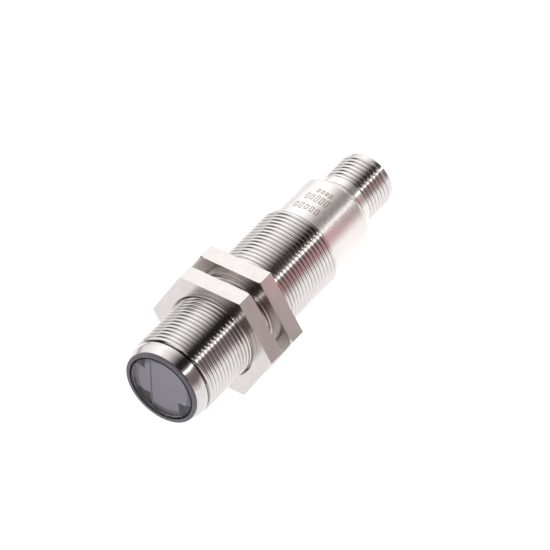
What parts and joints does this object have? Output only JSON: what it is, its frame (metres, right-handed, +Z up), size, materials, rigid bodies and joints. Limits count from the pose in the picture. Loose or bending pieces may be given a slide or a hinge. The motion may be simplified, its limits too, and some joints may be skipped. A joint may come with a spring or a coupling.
{
  "type": "photoelectric sensor",
  "caption": "Tubular threaded metal photoelectric sensor with a tinted round optic face, two hexagonal mounting nuts and a round plug connector at the rear.",
  "frame": {"origin": "centre of the front cover's outer face, on the barrel's axis", "axes": "+Y along the barrel's axis from the optic face to the plug connector, +Z up through a flat of each nut; light leaves along -Y"},
  "size_m": [0.0278, 0.0695, 0.024],
  "materials": {
    "barrel_nickel": "bright nickel plate, turned",
    "nut_nickel": "satin nickel plate",
    "tinted_cover": "grey tinted clear acrylic",
    "clear_lens": "clear acrylic",
    "grey_foil": "polarising foil",
    "black_rubber": "matte",
    "black_plastic": "glass-filled polyamide",
    "green_board": "glass epoxy board with solder resist",
    "chip_black": "moulded epoxy",
    "ceramic_tan": "ceramic",
    "tantalum_orange": "moulded epoxy",
    "tinned_steel": "tinned sheet",
    "gold_plate": "gold flashed",
    "red_epoxy": "clear red",
    "lead_brown": "PVC",
    "lead_white": "PVC",
    "lead_blue": "PVC",
    "lead_black": "PVC"
  },
  "bodies": {
    "sensor": {"barrel_sleeve": "barrel_nickel", "front_cover": "tinted_cover", "cover_seal": "black_rubber", "foil_emitter": "grey_foil", "foil_receiver": "grey_foil", "twin_lens": "clear_lens", "optics_carrier": "black_plastic", "optic_board": "green_board", "emitter_led": "red_epoxy", "receiver_photodiode": "chip_black", "main_board": "green_board", "sensor_asic": "chip_black", "output_driver": "chip_black", "voltage_regulator": "chip_black", "indicator_led": "red_epoxy", "shield_can": "tinned_steel", "tantalum_capacitor_1": "tantalum_orange", "tantalum_capacitor_2": "tantalum_orange", "board_spacer": "black_plastic", "indicator_light_pipe": "red_epoxy", "shell_seal": "black_rubber", "connector_shell": "barrel_nickel", "contact_carrier": "black_plastic", "protection_diode_1": "chip_black", "protection_diode_2": "chip_black", "protection_diode_3": "chip_black", "ceramic_capacitor_1": "ceramic_tan", "chip_resistor_1": "chip_black", "contact_pin_1": "gold_plate", "ceramic_capacitor_2": "ceramic_tan", "chip_resistor_2": "chip_black", "contact_pin_2": "gold_plate", "ceramic_capacitor_3": "ceramic_tan", "chip_resistor_3": "chip_black", "contact_pin_3": "gold_plate", "ceramic_capacitor_4": "ceramic_tan", "chip_resistor_4": "chip_black", "contact_pin_4": "gold_plate", "lead_wire_1": "lead_brown", "lead_wire_2": "lead_white", "lead_wire_3": "lead_blue", "lead_wire_4": "lead_black"},
    "nut_front": {"front_nut": "nut_nickel"},
    "nut_rear": {"rear_nut": "nut_nickel"}
  },
  "joints": [
    {"name": "front_nut_travel", "type": "slide", "parent": "sensor", "child": "nut_front", "axis": [0, 1, 0], "range_m": [-0.0131, 0.0015]},
    {"name": "rear_nut_travel", "type": "slide", "parent": "sensor", "child": "nut_rear", "axis": [0, 1, 0], "range_m": [-0.0015, 0.0187]}
  ]
}
